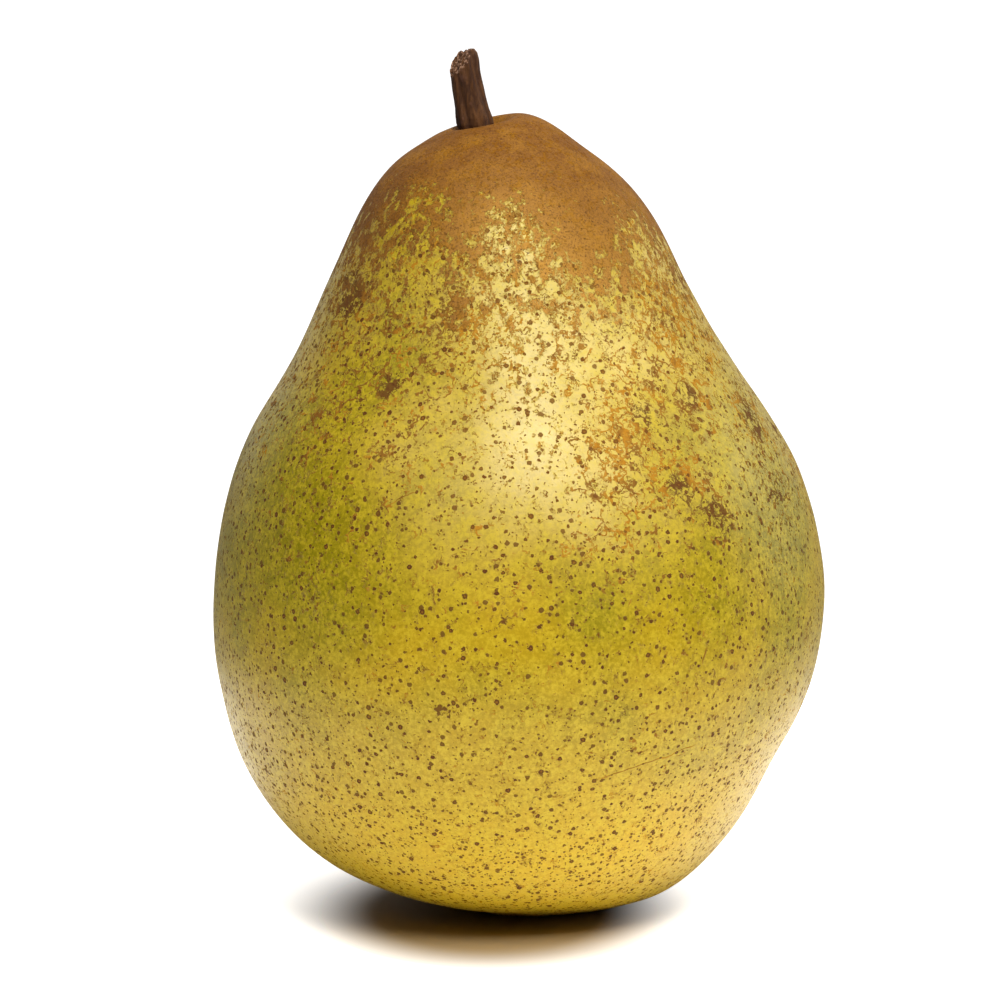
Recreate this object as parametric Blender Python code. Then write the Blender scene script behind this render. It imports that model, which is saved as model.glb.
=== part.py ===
"""A broad dessert pear standing upright: the fruit, its woody stem, and the dried flower end underneath.

Metres, +Z up. The origin lies on the surface that the pear stands on, in the middle of the fruit's
bounding box. The front is -Y, and the stem leans towards -X.
"""

import math

import bmesh
import bpy
import numpy as np
from mathutils import Matrix, Vector

MM = 0.001

# Driving dimensions
FRUIT_WIDTH = 80 * MM
FRUIT_HEIGHT = 104 * MM  # the height that the outline's shares are taken from
STEM_HEIGHT = 10.7 * MM
STEM_THICKNESS = 3.7 * MM
SEPAL_LENGTH = 4.8 * MM
SEPAL_WIDTH = 2.3 * MM
SEPAL_THICKNESS = 0.45 * MM
GAP = 0.3 * MM  # between pieces that touch

HALF_WIDTH = FRUIT_WIDTH / 2

# The fruit's rings, from the middle of the basin underneath, round the belly and the neck, to the foot of
# the stem. Each has its radius, its height, the shift of its middle towards +X, and the slope by which
# its +X side stands higher. Radius and shift are shares of the half width, height is a share of the height.
FRUIT_RINGS = (
    (0.000, 0.053, 0.062, 0.0),
    (0.085, 0.050, 0.062, 0.0),
    (0.145, 0.035, 0.062, 0.0),
    (0.190, 0.013, 0.062, 0.0),
    (0.230, -0.002, 0.062, 0.0),
    (0.270, -0.002, 0.062, 0.0),
    (0.320, 0.004, 0.072, 0.0),
    (0.380, 0.012, 0.070, 0.0),
    (0.465, 0.022, 0.046, 0.0),
    (0.555, 0.038, 0.014, 0.0),
    (0.680, 0.075, -0.018, 0.0),
    (0.803, 0.134, -0.033, 0.0),
    (0.887, 0.194, -0.036, 0.0),
    (0.950, 0.257, -0.018, 0.0),
    (0.990, 0.323, -0.008, 0.0),
    (1.000, 0.388, 0.000, 0.0),
    (0.975, 0.472, -0.004, 0.0),
    (0.915, 0.552, -0.010, 0.0),
    (0.840, 0.611, -0.018, 0.0),
    (0.738, 0.673, -0.023, 0.0),
    (0.645, 0.735, -0.032, 0.0),
    (0.567, 0.797, -0.041, 0.0),
    (0.495, 0.858, -0.045, 0.0),
    (0.430, 0.898, -0.053, 0.0),
    (0.340, 0.935, -0.062, 0.0),
    (0.264, 0.957, -0.064, 0.01),
    (0.187, 0.977, -0.077, 0.08),
    (0.135, 0.986, -0.097, 0.18),
    (0.110, 0.987, -0.112, 0.22),
    (0.089, 0.982, -0.123, 0.19),
    (0.075, 0.974, -0.130, 0.10),
    (0.062, 0.969, -0.133, 0.03),
    (0.000, 0.967, -0.134, 0.0),
)
FRUIT_SIDES = 56
ROWS_PER_RING = 2

# The fruit is never quite round: how far it bulges diagonally and in three lobes, as shares of its radius.
DIAGONAL_BULGE = 0.012
THREE_LOBES = 0.008

# Five low lobes stand round the basin. They fade out at this radius, and by about this height.
BASE_LOBE_COUNT = 5
BASE_LOBE_DEPTH = 0.35 * MM
BASE_LOBE_RADIUS = 13 * MM
BASE_LOBE_FADE = 5 * MM

# The stem's radius along its height, from its flared foot to the dished scar at its tip.
STEM_RINGS = (
    # share of the thickness, share of the height
    (0.00, 0.000),
    (0.55, 0.000),
    (0.61, 0.060),
    (0.65, 0.150),
    (0.64, 0.230),
    (0.59, 0.330),
    (0.56, 0.480),
    (0.54, 0.640),
    (0.53, 0.780),
    (0.53, 0.880),
    (0.50, 0.950),
    (0.42, 1.000),
    (0.20, 0.985),
    (0.00, 0.965),
)
STEM_SIDES = 20
STEM_LEAN = math.radians(7)
STEM_BEND = 0.6 * MM  # how far the foot sweeps towards +X out of the straight line
TIP_SLOPE = 0.42  # the scar is higher on its +X side

SEPAL_COUNT = 5
SEPAL_TURN = 0.2  # radians from +X to the first sepal
SEPAL_FOOT_RADIUS = 1.8 * MM
SEPAL_FOOT_DEPTH = 1.2 * MM  # below the middle of the basin
SEPAL_DROOP = 1.9 * MM
SEPAL_CUPPING = 0.35 * MM
SEPAL_TAPER = 0.84  # the share of its width that a sepal loses towards its tip

STAMEN_PLUG_RADIUS = 1.2 * MM
STAMEN_PLUG_HEIGHT = 2.4 * MM
STAMEN_PLUG_SIDES = 12

CREASE = math.radians(50)  # sharper edges than this are not shaded smooth

SKIN = ("pear_skin", (0.47, 0.34, 0.03), 0.38)
STEM_WOOD = ("stem_wood", (0.085, 0.035, 0.018), 0.75)
SEPAL_HUSK = ("sepal_husk", (0.060, 0.033, 0.018), 0.85)
STAMEN_TUFT = ("stamen_tuft", (0.045, 0.026, 0.015), 0.90)


def clear_scene():
    for obj in list(bpy.data.objects):
        bpy.data.objects.remove(obj, do_unlink=True)


def material(name, colour, roughness):
    made = bpy.data.materials.new(name)
    made.use_nodes = True
    shader = made.node_tree.nodes["Principled BSDF"]
    shader.inputs["Base Color"].default_value = (*colour, 1.0)
    shader.inputs["Roughness"].default_value = roughness
    shader.inputs["Metallic"].default_value = 0.0
    return made


def smooth_rows(stations):
    """Rows along the natural cubic curve through the stations, ROWS_PER_RING from each one to the next."""
    stations = np.array(stations, float)
    steps = np.linalg.norm(np.diff(stations[:, :2], axis=0), axis=1)
    size = len(stations)
    bend = np.eye(size)
    pull = np.zeros(stations.shape)
    for i in range(1, size - 1):
        before, after = steps[i - 1], steps[i]
        bend[i, i - 1 : i + 2] = before, 2 * (before + after), after
        pull[i] = 6 * (
            (stations[i + 1] - stations[i]) / after - (stations[i] - stations[i - 1]) / before
        )
    curvature = np.linalg.solve(bend, pull)
    rows = []
    for i, step in enumerate(steps):
        for part in range(ROWS_PER_RING):
            far = part / ROWS_PER_RING
            near = 1 - far
            rows.append(
                near * stations[i]
                + far * stations[i + 1]
                + step**2 / 6 * ((near**3 - near) * curvature[i] + (far**3 - far) * curvature[i + 1])
            )
    return np.array(rows + [stations[-1]])


def turned(rows, sides):
    """A bmesh of (radius, height) rows turned round Z, and the layer that holds each vertex's row number."""
    bm = bmesh.new()
    row = bm.verts.layers.float.new("row")
    outline = []
    for number, (radius, height) in enumerate(rows):
        vertex = bm.verts.new((radius, 0.0, height))
        vertex[row] = number
        outline.append(vertex)
    edges = [bm.edges.new(pair) for pair in zip(outline, outline[1:])]
    bmesh.ops.spin(
        bm,
        geom=outline + edges,
        cent=(0, 0, 0),
        axis=(0, 0, 1),
        angle=math.tau,
        steps=sides,
        use_merge=True,
    )
    bmesh.ops.remove_doubles(bm, verts=bm.verts, dist=1e-6)
    bmesh.ops.recalc_face_normals(bm, faces=bm.faces)
    return bm, row


def finished(name, bm, finish, parent):
    """The bmesh as an object of this name under the parent."""
    mesh = bpy.data.meshes.new(name)
    bm.to_mesh(mesh)
    bm.free()
    mesh.materials.append(finish)
    mesh.shade_smooth()
    mesh.set_sharp_from_angle(angle=CREASE)
    obj = bpy.data.objects.new(name, mesh)
    bpy.context.scene.collection.objects.link(obj)
    obj.parent = parent
    return obj


def fruit_rows():
    """The fruit's rings at full size: radius, height, shift and slope."""
    return smooth_rows(FRUIT_RINGS) * (HALF_WIDTH, FRUIT_HEIGHT, HALF_WIDTH, 1.0)


def base_lobe(radius, height, angle):
    """How far the fruit's underside is lifted or lowered round its basin."""
    outward = math.sin(math.pi * min(radius / BASE_LOBE_RADIUS, 1))
    fading = math.exp(-((height / BASE_LOBE_FADE) ** 2))
    return BASE_LOBE_DEPTH * outward * fading * math.cos(BASE_LOBE_COUNT * angle)


def make_fruit(rows, finish, parent):
    """The flesh and skin in one piece, flat where it rests."""
    bm, row = turned(rows[:, :2], FRUIT_SIDES)
    for vertex in bm.verts:
        radius, height, shift, slope = rows[round(vertex[row])]
        angle = math.atan2(vertex.co.y, vertex.co.x)
        bulge = DIAGONAL_BULGE * math.sin(2 * angle) + THREE_LOBES * math.sin(3 * angle)
        vertex.co.xy *= 1 + bulge * (radius / HALF_WIDTH) ** 2
        vertex.co.z += slope * vertex.co.x + base_lobe(radius, height, angle)
        vertex.co.z = max(vertex.co.z, 0)
        vertex.co.x += shift
    return finished("fruit", bm, finish, parent)


def make_stem(foot, finish, parent):
    """The woody stalk, with its foot at the bottom of the hollow on top of the fruit."""
    rows = np.array(STEM_RINGS) * (STEM_THICKNESS, STEM_HEIGHT)
    bm, _ = turned(rows, STEM_SIDES)
    for vertex in bm.verts:
        share = vertex.co.z / STEM_HEIGHT
        vertex.co.z += TIP_SLOPE * vertex.co.x * share**6
        vertex.co.x += STEM_BEND * (1 - share) ** 2 - vertex.co.z * math.tan(STEM_LEAN)
    stem = finished("stem", bm, finish, parent)
    stem.location = foot + Vector((-STEM_BEND, 0, GAP))
    return stem


def sepal_mesh():
    """A dried sepal along +X: a thin cupped leaf, broad at its foot, that narrows and droops to its tip."""
    bm = bmesh.new()
    bmesh.ops.create_grid(bm, x_segments=5, y_segments=2, size=0.5)
    for vertex in bm.verts:
        along = vertex.co.x + 0.5
        across = vertex.co.y * 2
        half_width = SEPAL_WIDTH / 2 * (1 - SEPAL_TAPER * along**1.5)
        cupping = SEPAL_CUPPING * (1 - along) * across**2
        droop = SEPAL_DROOP * along**1.6
        vertex.co = Vector((along * SEPAL_LENGTH, across * half_width, -cupping - droop))
    bmesh.ops.recalc_face_normals(bm, faces=bm.faces)
    bmesh.ops.solidify(bm, geom=bm.faces[:], thickness=SEPAL_THICKNESS)
    bmesh.ops.recalc_face_normals(bm, faces=bm.faces)
    return bm


def make_calyx(basin, sepal_finish, plug_finish, parent):
    """Five sepals spread over the wall of the basin, round a short plug of dried stamens."""
    for number in range(SEPAL_COUNT):
        sepal = finished(f"sepal_{number + 1}", sepal_mesh(), sepal_finish, parent)
        turn = Matrix.Rotation(math.tau * number / SEPAL_COUNT + SEPAL_TURN, 4, "Z")
        sepal.location = basin + turn @ Vector((SEPAL_FOOT_RADIUS, 0, -SEPAL_FOOT_DEPTH))
        sepal.rotation_euler = turn.to_euler()
    plug_rows = (
        (0.0, -STAMEN_PLUG_HEIGHT),
        (0.8 * STAMEN_PLUG_RADIUS, -STAMEN_PLUG_HEIGHT),
        (STAMEN_PLUG_RADIUS, -0.6 * STAMEN_PLUG_HEIGHT),
        (0.8 * STAMEN_PLUG_RADIUS, 0.0),
        (0.0, 0.0),
    )
    plug, _ = turned(plug_rows, STAMEN_PLUG_SIDES)
    stamens = finished("dried_stamens", plug, plug_finish, parent)
    stamens.location = basin - Vector((0, 0, GAP))


def main():
    clear_scene()
    pear = bpy.data.objects.new("pear", None)
    bpy.context.scene.collection.objects.link(pear)
    rows = fruit_rows()
    fruit = make_fruit(rows, material(*SKIN), pear)
    make_stem(Vector((rows[-1, 2], 0, rows[-1, 1])), material(*STEM_WOOD), pear)
    make_calyx(
        Vector((rows[0, 2], 0, rows[0, 1])), material(*SEPAL_HUSK), material(*STAMEN_TUFT), pear
    )
    corners = [Vector(corner) for corner in fruit.bound_box]
    middle = sum(corners, Vector()) / len(corners)
    pear.location = (-middle.x, -middle.y, 0)


main()
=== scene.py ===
# A broad dessert pear with a russet crown and a broken stem, standing on a pale floor.

import math
import random

import bmesh
import bpy
import numpy as np
from mathutils import Matrix, Vector, noise


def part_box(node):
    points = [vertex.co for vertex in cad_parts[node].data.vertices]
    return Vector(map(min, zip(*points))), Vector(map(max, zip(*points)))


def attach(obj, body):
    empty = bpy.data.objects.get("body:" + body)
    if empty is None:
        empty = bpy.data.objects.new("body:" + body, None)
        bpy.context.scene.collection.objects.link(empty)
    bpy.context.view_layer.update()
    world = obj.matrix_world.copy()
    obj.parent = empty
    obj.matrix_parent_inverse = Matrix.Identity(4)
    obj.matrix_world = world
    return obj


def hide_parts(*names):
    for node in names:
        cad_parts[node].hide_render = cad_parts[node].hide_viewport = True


mm = 0.001

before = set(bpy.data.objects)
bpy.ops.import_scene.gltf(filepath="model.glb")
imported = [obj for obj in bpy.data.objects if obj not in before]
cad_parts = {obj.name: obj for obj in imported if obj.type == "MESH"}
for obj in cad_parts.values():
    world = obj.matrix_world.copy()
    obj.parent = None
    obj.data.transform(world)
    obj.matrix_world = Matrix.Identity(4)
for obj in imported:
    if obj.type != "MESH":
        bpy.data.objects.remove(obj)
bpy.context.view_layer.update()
print("frame loaded:", ", ".join(sorted(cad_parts)))


# shared mesh helpers


def smoothRows(stations, perRing):
    # rows along the natural cubic curve through the stations, perRing of them from each one to the next
    stations = np.array(stations, float)
    steps = np.linalg.norm(np.diff(stations[:, :2], axis=0), axis=1)
    size = len(stations)
    bend = np.eye(size)
    pull = np.zeros(stations.shape)
    for i in range(1, size - 1):
        before, after = steps[i - 1], steps[i]
        bend[i, i - 1:i + 2] = before, 2 * (before + after), after
        pull[i] = 6 * ((stations[i + 1] - stations[i]) / after - (stations[i] - stations[i - 1]) / before)
    curvature = np.linalg.solve(bend, pull)
    rows = []
    for i, step in enumerate(steps):
        for part in range(perRing):
            far = part / perRing
            near = 1 - far
            bow = (near**3 - near) * curvature[i] + (far**3 - far) * curvature[i + 1]
            rows.append(near * stations[i] + far * stations[i + 1] + step**2 / 6 * bow)
    return np.array(rows + [stations[-1]])


def turned(rows, sides):
    # the rows' radius and height spun round Z; the layer tells which row a vertex came from
    bm = bmesh.new()
    rowOf = bm.verts.layers.float.new("row")
    outline = []
    for number, row in enumerate(rows):
        vertex = bm.verts.new((row[0], 0, row[1]))
        vertex[rowOf] = number
        outline.append(vertex)
    edges = [bm.edges.new(pair) for pair in zip(outline, outline[1:])]
    bmesh.ops.spin(bm, geom=outline + edges, cent=(0, 0, 0), axis=(0, 0, 1), angle=math.tau,
                   steps=sides, use_merge=True)
    bmesh.ops.remove_doubles(bm, verts=bm.verts, dist=1e-7)
    bmesh.ops.recalc_face_normals(bm, faces=bm.faces)
    return bm, rowOf


def fitToNode(bm, node):
    # moves and stretches the mesh by the hair that makes its box the CAD node's box
    low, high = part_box(node)
    places = np.array([v.co for v in bm.verts])
    ownLow, ownHigh = Vector(places.min(0)), Vector(places.max(0))
    grow = Vector([(high[i] - low[i]) / (ownHigh[i] - ownLow[i]) for i in range(3)])
    bmesh.ops.translate(bm, verts=bm.verts, vec=-ownLow)
    bmesh.ops.scale(bm, verts=bm.verts, vec=grow)
    bmesh.ops.translate(bm, verts=bm.verts, vec=low)


def newPiece(name, bm, finish, slotName, *nodes):
    mesh = bpy.data.meshes.new(name)
    bm.to_mesh(mesh)
    bm.free()
    mesh.materials.append(finish)
    mesh.shade_smooth()
    piece = bpy.data.objects.new(name, mesh)
    bpy.context.scene.collection.objects.link(piece)
    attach(piece, "root")
    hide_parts(*nodes)
    return piece


# shared material helpers


def addNode(tree, kind, sockets=None, **settings):
    # sockets take a value, or another node's output to be linked
    node = tree.nodes.new("ShaderNode" + kind)
    for name, value in settings.items():
        setattr(node, name, value)
    for name, value in (sockets or {}).items():
        if isinstance(value, bpy.types.NodeSocket):
            tree.links.new(value, node.inputs[name])
        else:
            node.inputs[name].default_value = value
    return node


def calc(tree, operation, a, b=0.0, c=0.0):
    return addNode(tree, "Math", {0: a, 1: b, 2: c}, operation=operation).outputs[0]


def rise(tree, value, low, high, start=0.0, end=1.0):
    # a soft step from start to end as value goes from low to high
    ramp = addNode(tree, "MapRange", {"Value": value, "From Min": low, "From Max": high,
                                      "To Min": start, "To Max": end}, interpolation_type="SMOOTHSTEP")
    return ramp.outputs["Result"]


def tint(tree, share, below, above, mode="MIX"):
    below = below if isinstance(below, bpy.types.NodeSocket) else (*below, 1)
    above = above if isinstance(above, bpy.types.NodeSocket) else (*above, 1)
    mix = addNode(tree, "Mix", {0: share, 6: below, 7: above}, data_type="RGBA", blend_type=mode)
    return mix.outputs[2]


def cloud(tree, places, scale, detail=2.0, roughness=0.5, distortion=0.0, output="Fac"):
    return addNode(tree, "TexNoise", {"Vector": places, "Scale": scale, "Detail": detail,
                                      "Roughness": roughness, "Distortion": distortion}).outputs[output]


def cells(tree, places, scale, feature="F1"):
    return addNode(tree, "TexVoronoi", {"Vector": places, "Scale": scale}, feature=feature)


def field(tree, name):
    return addNode(tree, "Attribute", attribute_name=name).outputs["Fac"]


def shifted(tree, places, scale, reach):
    # the places pushed about by up to half the reach, so that straight edges turn ragged
    push = cloud(tree, places, scale, 2, output="Color")
    push = addNode(tree, "VectorMath", {0: push, 1: (0.5, 0.5, 0.5)}, operation="SUBTRACT").outputs[0]
    return addNode(tree, "VectorMath", {0: push, 1: (reach,) * 3, 2: places},
                   operation="MULTIPLY_ADD").outputs[0]


def stretched(tree, places, along):
    return addNode(tree, "VectorMath", {0: places, 1: along}, operation="MULTIPLY").outputs[0]


def newMaterial(name):
    finish = bpy.data.materials.new(name)
    finish.use_nodes = True
    tree = finish.node_tree
    shader = tree.nodes["Principled BSDF"]
    source = addNode(tree, "TexCoord").outputs["Object"]
    places = addNode(tree, "VectorMath", {0: source, "Scale": 1 / mm}, operation="SCALE").outputs[0]
    return finish, tree, shader, places  # places are in millimetres


# the fruit's outline


fruit = {
    # radius, height, shift of the ring's middle towards +X, and how much higher its +X side stands;
    # radius and shift are shares of the half width, height is a share of the outline's height
    "rings": [
        (0.000, 0.053, 0.062, 0.0),
        (0.085, 0.050, 0.062, 0.0),
        (0.145, 0.035, 0.062, 0.0),
        (0.190, 0.013, 0.062, 0.0),
        (0.230, -0.002, 0.062, 0.0),
        (0.270, -0.002, 0.062, 0.0),
        (0.320, 0.004, 0.072, 0.0),
        (0.380, 0.012, 0.070, 0.0),
        (0.465, 0.022, 0.046, 0.0),
        (0.555, 0.038, 0.014, 0.0),
        (0.680, 0.075, -0.018, 0.0),
        (0.803, 0.134, -0.033, 0.0),
        (0.887, 0.194, -0.036, 0.0),
        (0.950, 0.257, -0.018, 0.0),
        (0.990, 0.323, -0.008, 0.0),
        (1.000, 0.388, 0.000, 0.0),
        (0.975, 0.472, -0.004, 0.0),
        (0.915, 0.552, -0.010, 0.0),
        (0.840, 0.611, -0.018, 0.0),
        (0.738, 0.673, -0.023, 0.0),
        (0.645, 0.735, -0.032, 0.0),
        (0.567, 0.797, -0.041, 0.0),
        (0.495, 0.858, -0.045, 0.0),
        (0.430, 0.898, -0.053, 0.0),
        (0.340, 0.935, -0.062, 0.0),
        (0.264, 0.957, -0.064, 0.01),
        (0.187, 0.977, -0.077, 0.08),
        (0.135, 0.986, -0.097, 0.18),
        (0.110, 0.987, -0.112, 0.22),
        (0.089, 0.982, -0.123, 0.19),
        (0.075, 0.974, -0.130, 0.10),
        (0.062, 0.969, -0.133, 0.03),
        (0.000, 0.967, -0.134, 0.0),
    ],
    "outlineShare": 0.9967,  # the top of the crown as a share of the outline's height
    "sides": 352,
    "rowsPerRing": 8,
    "diagonalBulge": 0.012,
    "threeLobes": 0.008,
    "baseLobes": 0.35 * mm,
    "swells": [(14 * mm, 0.22 * mm), (5 * mm, 0.05 * mm)],  # size and depth of the slow unevenness
    "seed": 4,
}


def fruitRows():
    # radius, height, shift and slope of every row in metres, scaled to the CAD fruit
    low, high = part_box("fruit")
    halfWidth = (high.x - low.x) / 2
    outline = high.z / fruit["outlineShare"]
    return smoothRows(fruit["rings"], fruit["rowsPerRing"]) * (halfWidth, outline, halfWidth, 1)


def skinSpot(angle, height):
    # the place on the skin at an angle in degrees from the front towards +X and a height in mm
    belly = fruitOutline[fruitOutline[:, 0] > 0.3 * fruitOutline[:, 0].max()]
    radius = np.interp(height * mm, belly[:, 1], belly[:, 0])
    middle = np.interp(height * mm, belly[:, 1], belly[:, 2])
    turn = math.radians(angle)
    return Vector((middle + radius * math.sin(turn), -radius * math.cos(turn), height * mm))


fruitOutline = fruitRows()


# the skin


skin = {
    "yellow": (0.392, 0.250, 0.002),
    "olive": (0.225, 0.178, 0.002),
    # golden tone: partly the skin's own, partly painted bounce light from the floor on the lower fruit
    "goldAndFloorBounce": (0.66, 0.405, 0.016),
    "pale": (0.52, 0.380, 0.018),
    "dot": (0.085, 0.024, 0.0004),
    "dotHeart": (0.20, 0.080, 0.002),
    "paleDot": (0.140, 0.046, 0.001),
    "mark": (0.205, 0.074, 0.003),
    "blot": (0.110, 0.037, 0.002),
    "net": (0.41, 0.170, 0.003),
    "tan": (0.48, 0.235, 0.035),
    "russet": (0.180, 0.064, 0.002),
    "russetDark": (0.072, 0.023, 0.001),
    "russetLight": (0.25, 0.100, 0.003),
    "russetGrain": (0.36, 0.175, 0.008),
    # cream of the painted highlight on the upper front, also of the paler patches on the back
    "creamAndPaintedHighlight": (0.66, 0.505, 0.155),
    "waxRoughness": 0.38,
    "russetRoughness": 0.74,
    "wornRoughness": 0.80,
    "specular": 0.25,
    "bumpDepth": 0.10 * mm,
    "bumpStrength": 0.8,
    # how fine each pattern is, in waves per mm
    "driftScale": 0.10,
    "broadScale": 0.22,
    "meshScale": 0.36,
    "mottleScale": 0.45,
    "blotchScale": 0.62,
    "streakScale": 0.78,
    "wormScale": 1.0,
    "grainScale": 2.1,
    "pepperScale": 2.8,
    "speckScale": 3.8,
    # the crown's russet sets in at one height and fills out over a climb, both in mm; more rings the eye
    "capFrom": 70,
    "capClimb": 30,
    "capStrength": 1.35,
    "eyeMiddle": 2.5 * mm,
    "eyeReach": 7 * mm,
    "eyeBelow": 15 * mm,
    "eyeStrength": 0.8,
    # brown marks: their share low down, and how much is added over a climb in mm
    "netFrom": 46,
    "netClimb": 30,
    "netLow": 0.12,
    "netAdded": 0.36,
    "scratches": [
        # from and to, each as an angle from the front and a height in mm, and the half width in mm
        ((17, 23.8), (38, 27.2), 0.09),
        ((36, 37.6), (37, 40.4), 0.16),
        ((-28, 58.0), (-20, 60.5), 0.07),
        ((122, 40.0), (136, 47.0), 0.08),
    ],
    "dotSizes": [
        # cells per mm, radius, how deep below the skin a dot shows, share kept, how far it needs fine
        (0.74, 0.28, 0.65, 0.62, 0.0),
        (1.05, 0.20, 0.48, 0.55, 0.8),
        (1.70, 0.10, 0.25, 0.50, 0.5),
    ],
}


def dotLayer(tree, places, normal, fine, kind):
    # round spots on the skin: cell centres just under the skin, seen as if flattened onto it
    scale, size, depth, kept, needsFine = kind
    cell = cells(tree, places, scale)
    away = addNode(tree, "VectorMath", {0: places, 1: cell.outputs["Position"]},
                   operation="SUBTRACT").outputs[0]
    below = addNode(tree, "VectorMath", {0: away, 1: normal}, operation="DOT_PRODUCT").outputs["Value"]
    squash = calc(tree, "MULTIPLY", below, size / depth - 1)
    squash = addNode(tree, "CombineXYZ", {0: squash, 1: squash, 2: squash}).outputs[0]
    away = addNode(tree, "VectorMath", {0: normal, 1: squash, 2: away},
                   operation="MULTIPLY_ADD").outputs[0]
    distance = addNode(tree, "VectorMath", {0: away}, operation="LENGTH").outputs["Value"]
    chance = addNode(tree, "SeparateColor", {0: cell.outputs["Color"]})
    reach = rise(tree, chance.outputs[0], 0.0, 1.0, 0.55 * size, 1.25 * size)
    share = calc(tree, "MULTIPLY_ADD", fine, needsFine, kept * (1 - needsFine))
    spare = calc(tree, "SUBTRACT", share, chance.outputs[1])
    reach = calc(tree, "MULTIPLY", reach, rise(tree, spare, -0.06, 0.0))
    nearness = calc(tree, "DIVIDE", distance, calc(tree, "MAXIMUM", reach, 0.001))
    return nearness, chance.outputs[2]


def scratch(tree, places, start, end, width):
    # a thin, slightly wavering line on the skin between two places
    along = (end - start).normalized()
    outward = ((start + end) / 2 * Vector((1, 1, 0))).normalized()
    across = outward.cross(along)
    middle = (start + end) / 2 / mm
    offset = addNode(tree, "VectorMath", {0: places, 1: middle}, operation="SUBTRACT").outputs[0]
    onAxis = [addNode(tree, "VectorMath", {0: offset, 1: axis}, operation="DOT_PRODUCT").outputs["Value"]
              for axis in (along, across, outward)]
    waver = calc(tree, "MULTIPLY_ADD", cloud(tree, places, 0.5, 3), 0.9, onAxis[1])
    beside = calc(tree, "ABSOLUTE", calc(tree, "SUBTRACT", waver, 0.45))
    line = rise(tree, beside, width * 0.4, width, 1.0, 0.0)
    half = (end - start).length / mm / 2
    inReach = rise(tree, calc(tree, "ABSOLUTE", onAxis[0]), half - 1, half, 1.0, 0.0)
    line = calc(tree, "MULTIPLY", line, inReach)
    return calc(tree, "MULTIPLY", line, rise(tree, onAxis[2], -9, -7))


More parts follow.
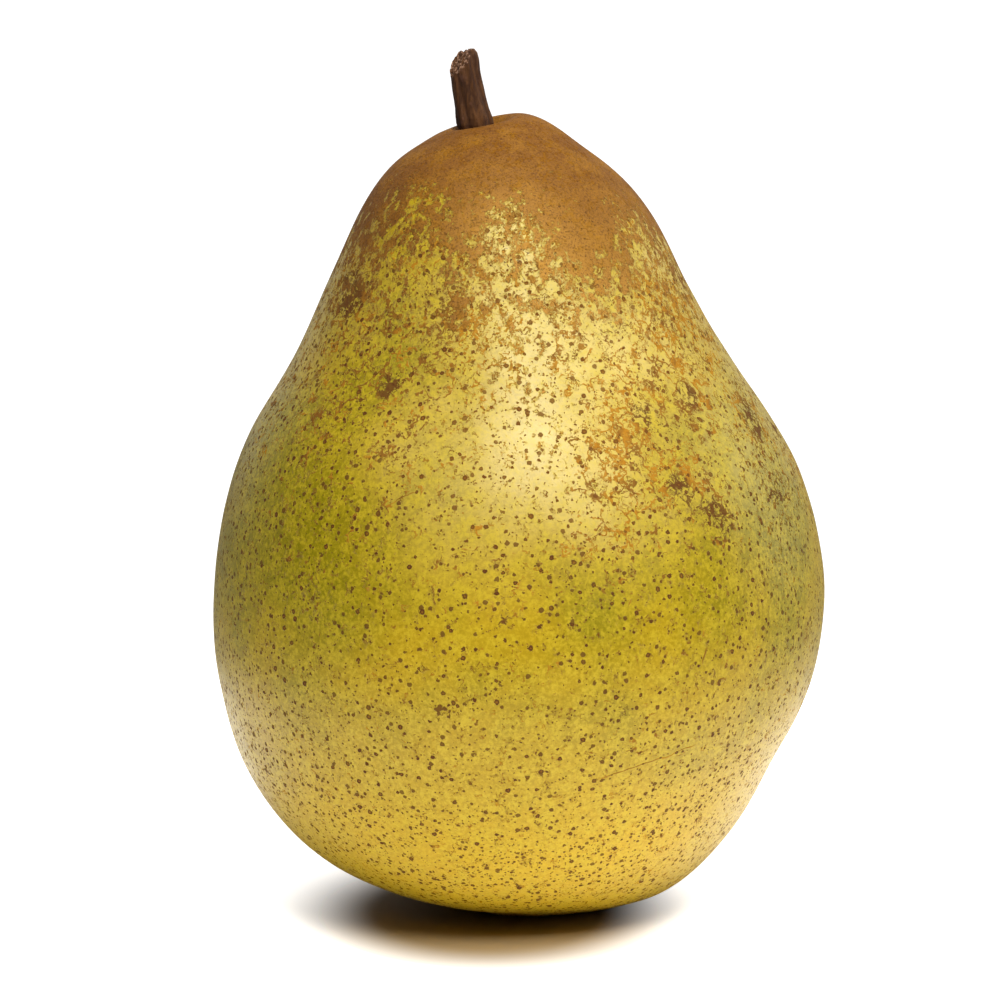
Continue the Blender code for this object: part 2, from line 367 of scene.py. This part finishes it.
def skinMaterial():
    finish, tree, shader, places = newMaterial("pearSkin")
    normal = addNode(tree, "TexCoord").outputs["Normal"]
    cap, net, blot = field(tree, "cap"), field(tree, "net"), field(tree, "blot")
    oliveAndSideShade, goldAndFloorBounce, fine = field(tree, "oliveAndSideShade"), field(tree, "goldAndFloorBounce"), field(tree, "fine")

    # ground colour: olive and gold drifting through the yellow, with a fine pale grain; the olive is
    # partly the skin's own tone and partly painted shade on the sides, the gold partly the skin's own tone
    # and partly painted bounce light from the floor low down
    drift = cloud(tree, places, skin["driftScale"], 3, 0.55)
    oliveShare = calc(tree, "ADD", oliveAndSideShade, calc(tree, "MULTIPLY_ADD", drift, 1.5, -0.62))
    ground = tint(tree, rise(tree, oliveShare, 0.0, 1.0), skin["yellow"], skin["olive"])
    # gold: partly the skin's own tone, partly painted bounce light from the floor on the lower fruit
    ground = tint(tree, goldAndFloorBounce, ground, skin["goldAndFloorBounce"])
    # the pale field lays cream on the ground: over the upper front a painted highlight, on the back paler
    # skin
    creamAndHighlightZone = calc(tree, "MULTIPLY", field(tree, "pale"), rise(tree, drift, 0.30, 0.62, 1.0, 0.55))
    ground = tint(tree, creamAndHighlightZone, ground, skin["creamAndPaintedHighlight"])
    grain = cloud(tree, places, skin["grainScale"], 4, 0.7)
    mottle = cloud(tree, places, skin["mottleScale"], 4, 0.6)
    paleShare = rise(tree, calc(tree, "MULTIPLY_ADD", mottle, 0.7, grain), 0.70, 1.05, 0.0, 0.60)
    ground = tint(tree, paleShare, ground, skin["pale"])
    grainTone = tint(tree, rise(tree, grain, 0.3, 0.62), (0.86, 0.86, 0.70), (1.06, 1.06, 1.1))
    ground = tint(tree, 1.0, ground, grainTone, "MULTIPLY")

    # lenticels of three sizes; the finest crowd round the base and the sides
    ragged = shifted(tree, places, 2.6, 0.42)
    dots = hearts = None
    for kind in skin["dotSizes"]:
        nearness, chance = dotLayer(tree, ragged, normal, fine, kind)
        inside = rise(tree, nearness, 0.86, 1.10, 1.0, 0.0)
        inside = calc(tree, "MULTIPLY", inside, rise(tree, chance, 0, 1, 0.8, 1.0))
        heart = rise(tree, nearness, 0.25, 0.60, 1.0, 0.0)
        heart = calc(tree, "MULTIPLY", heart, rise(tree, chance, 0.3, 0.6))
        dots = inside if dots is None else calc(tree, "MAXIMUM", dots, inside)
        hearts = heart if hearts is None else calc(tree, "MAXIMUM", hearts, heart)

    # ragged marks, which join into patches where net is high, and thin wandering lines
    torn = shifted(tree, places, 1.3, 0.8)
    blotch = cloud(tree, torn, skin["blotchScale"], 6, 0.66)
    want = calc(tree, "MULTIPLY_ADD", net, -0.20, 0.725)
    marks = rise(tree, calc(tree, "SUBTRACT", blotch, want), -0.012, 0.02)
    marks = calc(tree, "MAXIMUM", marks, rise(tree, calc(tree, "ADD", blotch, blot), 0.92, 0.97))
    wander = cloud(tree, torn, skin["wormScale"], 4, 0.6)
    wander = calc(tree, "ABSOLUTE", calc(tree, "SUBTRACT", wander, 0.5))
    gate = cloud(tree, places, 0.8, 3, 0.6)
    gate = rise(tree, calc(tree, "MULTIPLY_ADD", net, 0.18, gate), 0.585, 0.64)
    worms = calc(tree, "MULTIPLY", rise(tree, wander, 0.012, 0.030, 1.0, 0.0), gate)
    mesh = cells(tree, shifted(tree, places, 0.8, 3.0), skin["meshScale"], "DISTANCE_TO_EDGE")
    mesh = rise(tree, mesh.outputs["Distance"], 0.03, 0.085, 1.0, 0.0)
    gate = cloud(tree, places, 0.5, 3, 0.6)
    gate = rise(tree, calc(tree, "MULTIPLY_ADD", net, 0.36, gate), 0.66, 0.74)
    worms = calc(tree, "MAXIMUM", worms, calc(tree, "MULTIPLY", mesh, gate))
    for start, end, width in skin["scratches"]:
        line = scratch(tree, places, skinSpot(*start), skinSpot(*end), width)
        worms = calc(tree, "MAXIMUM", worms, line)

    # russet crown: solid at the top, broken into upright streaks and islands below
    upright = stretched(tree, shifted(tree, places, 0.9, 0.9), (1, 1, 0.6))
    streak = cloud(tree, upright, skin["streakScale"], 8, 0.72)
    crown = calc(tree, "MULTIPLY_ADD", calc(tree, "SUBTRACT", streak, 0.5), 3.8, cap)
    speck = cloud(tree, places, skin["speckScale"], 4, 0.75)
    film = calc(tree, "MULTIPLY", rise(tree, crown, 0.30, 0.62), rise(tree, speck, 0.40, 0.58, 0.1, 0.7))
    crown = calc(tree, "MAXIMUM", film, rise(tree, crown, 0.52, 0.64))
    peppered = rise(tree, cloud(tree, places, skin["pepperScale"], 3, 0.6), 0.61, 0.66)
    peppered = calc(tree, "MULTIPLY", rise(tree, cap, 0.05, 0.45), peppered)
    broad = cloud(tree, places, skin["broadScale"], 3, 0.6)
    russet = tint(tree, rise(tree, broad, 0.42, 0.68), skin["russet"], skin["russetLight"])
    # the crown turns tan where the pale field, over the upper front a painted highlight, is high
    russet = tint(tree, field(tree, "pale"), russet, skin["tan"])
    russet = tint(tree, rise(tree, speck, 0.50, 0.64, 0.0, 0.65), russet, skin["russetDark"])
    russet = tint(tree, rise(tree, speck, 0.44, 0.32, 0.0, 0.5), russet, skin["russetGrain"])

    golden = calc(tree, "MULTIPLY_ADD", oliveAndSideShade, -0.14, calc(tree, "MULTIPLY_ADD", net, 0.12, broad))
    markColour = tint(tree, rise(tree, golden, 0.46, 0.60), skin["mark"], skin["net"])
    markColour = tint(tree, rise(tree, blot, 0.03, 0.25), markColour, skin["blot"])
    markColour = tint(tree, rise(tree, grain, 0.45, 0.62, 0.0, 0.4), markColour, skin["blot"])
    colour = tint(tree, calc(tree, "MULTIPLY", worms, 0.9), ground, markColour)
    colour = tint(tree, calc(tree, "MULTIPLY", marks, 0.92), colour, markColour)
    # dots are lighter where the pale field, over the upper front a painted highlight, is high
    dotColour = tint(tree, rise(tree, field(tree, "pale"), 0.1, 0.7), skin["dot"], skin["paleDot"])
    dotColour = tint(tree, hearts, dotColour, skin["dotHeart"])
    colour = tint(tree, dots, colour, dotColour)
    colour = tint(tree, crown, colour, russet)
    colour = tint(tree, calc(tree, "MULTIPLY", peppered, 0.75), colour, skin["russetDark"])
    tree.links.new(colour, shader.inputs["Base Color"])

    scars = calc(tree, "MAXIMUM", calc(tree, "MAXIMUM", dots, marks), worms)
    rough = rise(tree, scars, 0.0, 1.0, skin["waxRoughness"], skin["wornRoughness"])
    rougher = calc(tree, "MULTIPLY", crown, skin["russetRoughness"] - skin["waxRoughness"])
    rough = calc(tree, "ADD", rough, rougher)
    rough = calc(tree, "MULTIPLY_ADD", calc(tree, "SUBTRACT", grain, 0.5), 0.15, rough)
    tree.links.new(rough, shader.inputs["Roughness"])

    height = calc(tree, "MULTIPLY_ADD", grain, 0.35, calc(tree, "MULTIPLY", scars, 0.55))
    height = calc(tree, "SUBTRACT", height, calc(tree, "MULTIPLY", hearts, 0.4))
    height = calc(tree, "ADD", height, calc(tree, "MULTIPLY", crown, calc(tree, "ADD", speck, 0.2)))
    bump = addNode(tree, "Bump", {"Height": height, "Distance": skin["bumpDepth"],
                                  "Strength": skin["bumpStrength"]})
    tree.links.new(bump.outputs[0], shader.inputs["Normal"])
    shader.inputs["Specular IOR Level"].default_value = skin["specular"]
    return finish


# Each spot is the angle from the front towards +X in degrees, its height, its reach, and its strength.
skinFields = {
    "cap": [
        (-18, 91, 4.0, 0.25), (-15, 83, 3.5, 0.28), (30, 91, 6.0, 0.30), (38, 86, 4.0, 0.16),
        (-46, 94, 4.5, -0.30), (-30, 94, 3.5, -0.25), (-30, 87, 5.0, -0.35), (-10, 87, 4.0, -0.20),
        (0, 93, 4.5, -0.30), (10, 89, 5.0, -0.16), (62, 90, 4.5, -0.20),
        (88, 93, 5.0, 0.26), (-88, 93, 4.0, 0.18), (140, 92, 7.0, 0.22), (-150, 90, 6.0, 0.24),
        (180, 95, 5.0, -0.22), (-115, 94, 5.0, -0.20),
    ],
    "net": [
        (24, 66, 4.0, 0.55), (30, 70, 4.0, 0.50), (22, 61, 4.0, 0.55), (36, 61, 3.4, 0.75),
        (45, 56, 2.6, 0.95), (42, 60, 2.0, 0.6), (50, 71, 5.0, 0.45), (73, 66, 3.6, 0.85),
        (68, 57, 3.4, 0.60), (88, 58, 5.0, 0.40), (-60, 82, 3.6, 0.70), (-34, 72, 1.8, 0.75),
        (-52, 68, 3.0, 0.35), (20, 54, 4.0, 0.35), (60, 80, 6.0, 0.45), (-14, 80, 3.6, 0.45),
        (6, 70, 6.0, -0.22), (-2, 62, 6.0, -0.15), (130, 66, 8.0, 0.55), (165, 58, 5.0, 0.60),
        (-140, 70, 7.0, 0.50), (-170, 48, 5.0, 0.45), (115, 50, 4.0, 0.50), (-100, 60, 4.0, 0.35),
    ],
    "blot": [
        (-15, 33.7, 1.3, 0.52), (-12.5, 33.2, 1.1, 0.50), (20, 32.0, 1.5, 0.48), (19, 34.5, 1.1, 0.44),
        (-3, 45.2, 1.1, 0.48), (-3, 36.8, 1.3, 0.48), (5, 13.2, 1.8, 0.46), (-34, 71.8, 1.4, 0.47),
        (-32, 73.0, 1.1, 0.44), (45, 55.0, 2.0, 0.50), (43, 57.4, 1.5, 0.50), (36, 60.5, 1.7, 0.50),
        (38, 58.6, 1.4, 0.44), (34, 69.0, 1.9, 0.44), (38, 66.5, 1.5, 0.44), (50, 70.5, 1.8, 0.42),
        (73, 65.5, 2.4, 0.50), (68, 57.0, 2.0, 0.44), (87, 63.0, 2.4, 0.47), (-59, 81.0, 2.4, 0.42),
        (-65, 83.0, 2.0, 0.42), (150, 40.0, 2.0, 0.47), (-120, 34.0, 1.8, 0.47), (178, 66.0, 2.2, 0.47),
        (-160, 24.0, 1.7, 0.47), (112, 71.0, 2.2, 0.44), (-98, 52.0, 1.8, 0.44), (140, 62.0, 2.0, 0.44),
    ],
    # pale: over the upper front a painted highlight, on the back paler skin
    "pale": [
        (4, 67, 12, 0.75), (12, 80, 10, 0.75), (26, 76, 9, 0.45), (20, 60, 9, 0.55), (-12, 57, 8, 0.35),
        (44, 78, 9, 0.50), (54, 64, 9, 0.50), (6, 86, 6, 0.30), (0, 91, 8, 0.60),
        (-24, 66, 7, 0.25), (-40, 82, 8, 0.25), (62, 88, 8, 0.45), (150, 72, 14, 0.60),
        (-150, 62, 12, 0.50), (-100, 78, 10, 0.40),
    ],
    # olive: partly the skin's own green, partly painted shade on the sides of the fruit
    "oliveAndSideShade": [
        (-56, 63, 14, 0.75), (-72, 48, 15, 0.60), (-45, 44, 10, 0.45), (-30, 77, 8, 0.40),
        (-33, 50, 9, 0.40), (-18, 46, 7, 0.22), (27, 47, 7, 0.25), (28, 28, 10, 0.25),
        (12, 44, 8, 0.40), (36, 52, 9, 0.35), (60, 62, 12, 0.75), (66, 48, 13, 0.60),
        (52, 36, 8, 0.25), (-20, 60, 6, 0.15), (110, 60, 14, 0.45), (160, 45, 14, 0.45),
        (-130, 50, 16, 0.50), (-175, 75, 9, 0.35),
    ],
    # gold: partly the skin's own tone, partly painted bounce light from the floor low down
    "goldAndFloorBounce": [
        (0, 8, 13, 0.55), (35, 12, 13, 0.50), (-35, 12, 12, 0.35), (18, 66, 8, 0.30),
        (-15, 46, 9, 0.18), (80, 20, 14, 0.30), (140, 14, 16, 0.45), (-110, 14, 16, 0.40),
        (180, 30, 10, 0.25),
    ],
    "fine": [
        (-60, 20, 20, 0.55), (0, 6, 14, 0.60), (50, 12, 18, 0.55), (-80, 50, 16, 0.45),
        (88, 35, 16, 0.50), (-65, 75, 12, 0.35), (130, 15, 20, 0.55), (-130, 20, 20, 0.55),
        (180, 12, 20, 0.55), (110, 50, 14, 0.35),
    ],
}


def baseLobe(radius, height, angle):
    outward = math.sin(math.pi * min(radius / (13 * mm), 1))
    return fruit["baseLobes"] * outward * math.exp(-((height / (5 * mm)) ** 2)) * math.cos(5 * angle)


def paintField(mesh, name, spots, base=None):
    # one number for each vertex: the base plus every spot, fading as a bell with distance
    places = np.empty(len(mesh.vertices) * 3)
    mesh.vertices.foreach_get("co", places)
    places = places.reshape(-1, 3)
    value = np.zeros(len(places)) if base is None else base(places)
    for angle, height, reach, strength in spots:
        spot = skinSpot(angle, height)
        away = np.linalg.norm(places - spot, axis=1) / (reach * mm)
        value += strength * np.exp(-(away**2))
    layer = mesh.attributes.new(name, "FLOAT", "POINT")
    layer.data.foreach_set("value", np.clip(value, 0, 1.5).astype(np.float32))


def makeFruit(finish):
    rows = fruitOutline
    halfWidth = rows[:, 0].max()
    bm, rowOf = turned(rows, fruit["sides"])
    shift = Vector((7.3, 1.9, 5.1)) * fruit["seed"]
    for vertex in bm.verts:
        radius, height, middle, slope = rows[round(vertex[rowOf])]
        angle = math.atan2(vertex.co.y, vertex.co.x)
        bulge = fruit["diagonalBulge"] * math.sin(2 * angle) + fruit["threeLobes"] * math.sin(3 * angle)
        vertex.co.xy *= 1 + bulge * (radius / halfWidth) ** 2
        vertex.co.z += slope * vertex.co.x + baseLobe(radius, height, angle)
        vertex.co.x += middle
    bm.normal_update()
    for vertex in bm.verts:
        swell = sum(depth * noise.noise(vertex.co / size + shift) for size, depth in fruit["swells"])
        vertex.co += vertex.normal * swell
        vertex.co.z = max(vertex.co.z, 0)
    bm.verts.layers.float.remove(rowOf)
    fitToNode(bm, "fruit")
    piece = newPiece("pearFruit", bm, finish, "skin", "fruit")

    def capBase(places):
        climb = np.clip((places[:, 2] / mm - skin["capFrom"]) / skin["capClimb"], 0, 1)
        beside = np.hypot(places[:, 0] - skin["eyeMiddle"], places[:, 1]) / skin["eyeReach"]
        eye = np.where(places[:, 2] < skin["eyeBelow"], skin["eyeStrength"] * np.exp(-(beside**2)), 0)
        return skin["capStrength"] * climb**1.5 + eye

    def netBase(places):
        climb = np.clip((places[:, 2] / mm - skin["netFrom"]) / skin["netClimb"], 0, 1)
        return skin["netLow"] + skin["netAdded"] * climb

    for name, spots in skinFields.items():
        base = {"cap": capBase, "net": netBase}.get(name)
        paintField(piece.data, name, spots, base)
    return piece


makeFruit(skinMaterial())
print("fruit done")


# the stem


stem = {
    # share of the thickness, share of the height
    "rings": [
        (0.00, 0.000), (0.55, 0.000), (0.61, 0.060), (0.65, 0.150), (0.64, 0.230), (0.59, 0.330),
        (0.56, 0.480), (0.54, 0.640), (0.53, 0.780), (0.53, 0.880), (0.50, 0.950), (0.42, 1.000),
        (0.20, 0.985), (0.00, 0.965),
    ],
    "thickness": 3.7 * mm,
    "height": 10.7 * mm,
    "lean": math.radians(7),
    "bend": 0.6 * mm,
    "tipSlope": 0.30,
    "scarSlope": 1.15,
    "scarStart": 0.30 * mm,
    "sides": 96,
    "rowsPerRing": 9,
    "ridges": [(5, 0.045, 0.3), (9, 0.030, 1.9), (17, 0.014, 4.0)],  # how many round it, how deep, where
    "barkSize": 0.7 * mm,
    "fraySizes": (0.38 * mm, 0.18 * mm),
    "frayHeight": 0.34 * mm,
    "twist": 0.5,
    "bumpDepth": 0.22 * mm,
    "roughness": 0.66,
    "specular": 0.25,
    "dark": (0.045, 0.015, 0.004),
    "brown": (0.110, 0.041, 0.009),
    "mauve": (0.150, 0.065, 0.040),
    "fibre": (0.36, 0.20, 0.12),
}


def stemMaterial():
    finish, tree, shader, places = newMaterial("pearStem")
    tip, groove = field(tree, "tip"), field(tree, "groove")
    along = stretched(tree, places, (1, 1, 0.22))
    wood = cloud(tree, along, 1.6, 6, 0.65, 0.4)
    colour = tint(tree, rise(tree, wood, 0.36, 0.64), stem["dark"], stem["brown"])
    worn = rise(tree, cloud(tree, places, 0.75, 4, 0.6), 0.56, 0.72)
    colour = tint(tree, calc(tree, "MULTIPLY", worn, 0.45), colour, stem["mauve"])
    # painted shade: darker in the grooves between the ridges
    colour = tint(tree, calc(tree, "MULTIPLY", groove, 0.6), colour, stem["dark"])
    frayed = rise(tree, cloud(tree, stretched(tree, places, (1, 1, 0.6)), 2.6, 3, 0.6), 0.50, 0.60)
    colour = tint(tree, calc(tree, "MULTIPLY", tip, frayed), colour, stem["fibre"])
    tree.links.new(colour, shader.inputs["Base Color"])
    shader.inputs["Roughness"].default_value = stem["roughness"]
    shader.inputs["Specular IOR Level"].default_value = stem["specular"]
    crack = cloud(tree, along, 4.0, 5, 0.7)
    bump = addNode(tree, "Bump", {"Height": calc(tree, "ADD", wood, crack), "Distance": stem["bumpDepth"],
                                  "Strength": 0.8})
    tree.links.new(bump.outputs[0], shader.inputs["Normal"])
    return finish


def makeStem(finish):
    rings = []
    for start, end in zip(stem["rings"], stem["rings"][1:]):
        for part in range(stem["rowsPerRing"]):
            share = part / stem["rowsPerRing"]
            rings.append([a + share * (b - a) for a, b in zip(start, end)])
    rings.append(list(stem["rings"][-1]))
    rows = np.array(rings) * (stem["thickness"], stem["height"])
    bm, rowOf = turned(rows, stem["sides"])
    tipLayer = bm.verts.layers.float.new("tip")
    grooveLayer = bm.verts.layers.float.new("groove")
    for vertex in bm.verts:
        angle = math.atan2(vertex.co.y, vertex.co.x)
        share = vertex.co.z / stem["height"]
        ridge = sum(
            depth * math.sin(count * (angle + stem["twist"] * share) + start)
            for count, depth, start in stem["ridges"]
        )
        rough = noise.noise(Vector((vertex.co.x, vertex.co.y, vertex.co.z * 0.3)) / stem["barkSize"])
        vertex.co.xy *= 1 + ridge + 0.03 * rough
        vertex[grooveLayer] = min(max(-ridge / 0.06, 0), 1)
        # the broken end: a slanted scar towards the front left, where torn fibres stand up unevenly
        towards = 0.85 * vertex.co.x + 0.5 * vertex.co.y
        scar = stem["height"] * 0.995 - stem["scarSlope"] * max(stem["scarStart"] - towards, 0)
        onEnd = min(max((vertex.co.z - scar) / (0.25 * mm) + 1, 0), 1)
        fray = noise.noise(vertex.co.xy.to_3d() / stem["fraySizes"][0] + Vector((3, 8, 1)))
        fray += 0.5 * noise.noise(vertex.co.xy.to_3d() / stem["fraySizes"][1])
        vertex.co.z = min(vertex.co.z, scar) + onEnd * (stem["frayHeight"] * fray - 0.05 * mm)
        vertex[tipLayer] = onEnd
        vertex.co.z += stem["tipSlope"] * vertex.co.x * share**6
        vertex.co.x += stem["bend"] * (1 - share) ** 2 - vertex.co.z * math.tan(stem["lean"])
    bm.verts.layers.float.remove(rowOf)
    fitToNode(bm, "stem")
    return newPiece("pearStem", bm, finish, "stem_wood", "stem")


makeStem(stemMaterial())
print("stem done")


# the dried flower end underneath


calyx = {
    "sepalLength": 4.8 * mm,
    "sepalWidth": 2.3 * mm,
    "sepalThickness": 0.28 * mm,
    "taper": 0.84,
    "seed": 11,
    "stamenCount": 19,
    "husk": (0.085, 0.048, 0.026),
    "huskPale": (0.24, 0.15, 0.085),
    "thread": (0.060, 0.034, 0.020),
}


def huskMaterial(name, dark, pale):
    finish, tree, shader, places = newMaterial(name)
    veins = cloud(tree, places, 1.7, 5, 0.65, 0.8)
    colour = tint(tree, rise(tree, veins, 0.42, 0.70), dark, pale)
    tree.links.new(colour, shader.inputs["Base Color"])
    shader.inputs["Roughness"].default_value = 0.82
    bump = addNode(tree, "Bump", {"Height": veins, "Distance": 0.2 * mm, "Strength": 0.8})
    tree.links.new(bump.outputs[0], shader.inputs["Normal"])
    return finish


def makeSepal(number, finish, draw):
    # a withered leaf: cupped, waved along its edges and curled at its tip, fitted to its CAD node
    node = f"sepal_{number}"
    low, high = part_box(node)
    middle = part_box("dried_stamens")
    axis = Vector(((middle[0].x + middle[1].x) / 2, (middle[0].y + middle[1].y) / 2, 0))
    heading = (low + high) / 2 - axis
    turn = Matrix.Rotation(math.atan2(heading.y, heading.x), 4, "Z")
    wave, curl = draw.uniform(0, math.tau), draw.uniform(0.1, 0.5)
    bm = bmesh.new()
    bmesh.ops.create_grid(bm, x_segments=24, y_segments=12, size=0.5)
    for vertex in bm.verts:
        along, across = vertex.co.x + 0.5, vertex.co.y * 2
        half = calyx["sepalWidth"] / 2 * (1 - calyx["taper"] * along**1.5)
        ripple = 0.16 * mm * math.sin(along * 11 + wave + across * 2) * abs(across)
        cup = 0.45 * mm * (1 - along) * across**2
        droop = 1.9 * mm * along**1.6 - curl * mm * max(along - 0.7, 0) * 3
        midrib = 0.10 * mm * math.exp(-((across / 0.15) ** 2))
        vertex.co = Vector((along * calyx["sepalLength"], across * half, ripple - cup - droop - midrib))
    bmesh.ops.recalc_face_normals(bm, faces=bm.faces)
    bmesh.ops.solidify(bm, geom=bm.faces[:], thickness=calyx["sepalThickness"])
    bmesh.ops.recalc_face_normals(bm, faces=bm.faces)
    bmesh.ops.transform(bm, matrix=turn, verts=bm.verts)
    fitToNode(bm, node)
    return newPiece(f"pearSepal{number}", bm, finish, "sepal_husk", node)


def makeStamens(finish, draw):
    # withered threads with shrivelled heads, standing round the stubs of the styles
    low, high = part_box("dried_stamens")
    middle = (low + high) / 2
    bm = bmesh.new()
    for number in range(calyx["stamenCount"]):
        turn = math.tau * number / calyx["stamenCount"] + draw.uniform(-0.1, 0.1)
        foot = draw.uniform(0.35, 0.9) * 0.9 * mm
        length = draw.uniform(0.6, 1.0) * (high.z - low.z)
        made = bmesh.ops.create_cone(bm, cap_ends=True, segments=8, radius1=0.11 * mm, radius2=0.08 * mm,
                                     depth=length)["verts"]
        head = bmesh.ops.create_icosphere(bm, subdivisions=1, radius=0.2 * mm)["verts"]
        bmesh.ops.scale(bm, verts=head, vec=(1, 0.7, 1.5))
        bmesh.ops.translate(bm, verts=head, vec=(0, 0, -length / 2))
        lean = Matrix.Rotation(draw.uniform(-0.35, 0.1), 4, "Y")
        place = Matrix.Rotation(turn, 4, "Z") @ Matrix.Translation((foot, 0, high.z - length / 2)) @ lean
        bmesh.ops.transform(bm, matrix=place, verts=made + head)
    disc = bmesh.ops.create_cone(bm, cap_ends=True, segments=24, radius1=0.8 * mm, radius2=1.1 * mm,
                                 depth=0.5 * mm)["verts"]
    bmesh.ops.translate(bm, verts=disc, vec=(0, 0, high.z - 0.25 * mm))
    bmesh.ops.translate(bm, verts=bm.verts, vec=(middle.x, middle.y, 0))
    fitToNode(bm, "dried_stamens")
    return newPiece("pearStamens", bm, finish, "stamen_tuft", "dried_stamens")


draw = random.Random(calyx["seed"])
husk = huskMaterial("pearHusk", calyx["husk"], calyx["huskPale"])
for number in range(1, 6):
    makeSepal(number, husk, draw)
makeStamens(huskMaterial("pearThreads", calyx["thread"], calyx["husk"]), draw)
print("flower end done")


# floor, light and camera


studio = {
    "floorColour": (0.93, 0.92, 0.90),
    "paintedShadow": (0.30, 0.21, 0.10),  # painted shadow under the fruit, seen by the camera only; warm, as what little light reaches it there has come off the fruit
    "paintedFarShade": (0.22, 0.22, 0.22),  # painted shade: away from the fruit the floor is darker, so that it gives little light
    "floorFade": (90, 200),  # mm from the fruit over which its colour turns to that
    "floorRoughness": 0.7,
    "floorSize": 3.0,
    "sweepMiddle": (-3.5 * mm, -6 * mm, 0),
    "sweepShape": (0.9, 0.7, 1),
    "sweep": (13, 28),  # mm from its middle over which the painted shadow fades and the camera comes to see a lit white sweep
    "ringMiddle": (-12 * mm, 2 * mm, 0),
    "ring": (30, 58, 80, 140),  # mm from its middle over which the glow comes in and goes out
    "ringGlow": 1.05,
    "skyFront": 0.0,
    "skyBack": 0.85,
    "skyLean": 0.12,  # how far the bright half of the sky turns towards +X
    "skyEdge": (0.1, 0.85),
    "lamps": [
        # name, place, width and height, power
        ("keyBox", (0.13, -0.41, 0.69), (0.36, 0.27), 8.0),
        ("topBox", (0.04, 0.02, 0.86), (0.60, 0.60), 2.4),
        ("sideBox", (0.70, 0.30, 0.12), (0.30, 0.5), 0.75),
    ],
    "lampsAim": (0, 0, 45 * mm),
}


def distanceFrom(tree, places, point):
    middle = Vector(point) / mm
    return addNode(tree, "VectorMath", {0: places, 1: middle}, operation="DISTANCE").outputs["Value"]


def makeFloor():
    finish, tree, shader, places = newMaterial("paleFloor")
    under = distanceFrom(tree, stretched(tree, places, studio["sweepShape"]), studio["sweepMiddle"])
    seen = addNode(tree, "LightPath").outputs["Is Camera Ray"]
    # close to the fruit the camera sees a painted shadow, beyond it a white sweep
    shaded = calc(tree, "MULTIPLY", rise(tree, under, *studio["sweep"], 1.0, 0.0), seen)
    shade = tint(tree, shaded, studio["floorColour"], studio["paintedShadow"])
    away = distanceFrom(tree, places, (0, 0, 0))
    # painted shade: the floor turns darker away from the fruit
    shade = tint(tree, rise(tree, away, *studio["floorFade"]), shade, studio["paintedFarShade"])
    tree.links.new(shade, shader.inputs["Base Color"])
    shader.inputs["Roughness"].default_value = studio["floorRoughness"]
    sweep = calc(tree, "MULTIPLY", rise(tree, under, *studio["sweep"]), seen)
    start, full, fade, gone = studio["ring"]
    offset = distanceFrom(tree, places, studio["ringMiddle"])
    ring = rise(tree, offset, fade, gone, studio["ringGlow"], 0)
    ring = calc(tree, "MULTIPLY", rise(tree, offset, start, full), ring)
    tree.links.new(calc(tree, "MAXIMUM", sweep, ring), shader.inputs["Emission Strength"])
    shader.inputs["Emission Color"].default_value = (1, 1, 1, 1)
    bm = bmesh.new()
    bmesh.ops.create_grid(bm, x_segments=1, y_segments=1, size=studio["floorSize"] / 2)
    mesh = bpy.data.meshes.new("floor")
    bm.to_mesh(mesh)
    bm.free()
    mesh.materials.append(finish)
    floor = bpy.data.objects.new("floor", mesh)
    bpy.context.scene.collection.objects.link(floor)


def makeSky():
    # bright behind the fruit and dim in front of it, as before a lit backdrop; the camera sees plain white
    world = bpy.data.worlds.new("studioSky")
    bpy.context.scene.world = world
    world.use_nodes = True
    tree = world.node_tree
    direction = addNode(tree, "TexCoord").outputs["Generated"]
    apart = addNode(tree, "SeparateXYZ", {0: direction})
    behind = calc(tree, "MULTIPLY_ADD", apart.outputs["X"], studio["skyLean"], apart.outputs["Y"])
    glow = rise(tree, behind, *studio["skyEdge"], studio["skyFront"], studio["skyBack"])
    seen = addNode(tree, "LightPath").outputs["Is Camera Ray"]
    glow = calc(tree, "MAXIMUM", glow, seen)
    tree.links.new(glow, tree.nodes["Background"].inputs["Strength"])
    tree.nodes["Background"].inputs["Color"].default_value = (1, 1, 1, 1)


def makeLights():
    for name, place, size, power in studio["lamps"]:
        lamp = bpy.data.lights.new(name, "AREA")
        lamp.shape = "RECTANGLE"
        lamp.size, lamp.size_y = size
        lamp.energy = power
        stand = bpy.data.objects.new(name, lamp)
        stand.location = place
        stand.rotation_mode = "QUATERNION"
        aim = Vector(studio["lampsAim"]) - Vector(place)
        stand.rotation_quaternion = aim.to_track_quat("-Z", "Y")
        bpy.context.scene.collection.objects.link(stand)


camera = {
    "distance": 0.80,
    "elevation": math.radians(10.5),
    "width": 130.5 * mm,  # how much the picture takes in, at the fruit
    "aside": -2.5 * mm,  # the picture's middle, from the fruit's middle
    "up": 53.1 * mm,
    "sensor": 36,
    "nearest": 0.05,
}


def makeCamera():
    data = bpy.data.cameras.new("camera")
    data.sensor_width = camera["sensor"]
    data.lens = data.sensor_width * camera["distance"] / camera["width"]
    data.clip_start = camera["nearest"]
    eye = bpy.data.objects.new("camera", data)
    tilt = camera["elevation"]
    back = Vector((0, -math.cos(tilt), math.sin(tilt)))
    eye.location = Vector((camera["aside"], 0, camera["up"])) + back * camera["distance"]
    eye.rotation_mode = "QUATERNION"
    eye.rotation_quaternion = (-back).to_track_quat("-Z", "Y")
    bpy.context.scene.collection.objects.link(eye)
    bpy.context.scene.camera = eye


makeFloor()
makeSky()
makeLights()
makeCamera()
bpy.context.scene.view_settings.view_transform = "Standard"
print("studio done")
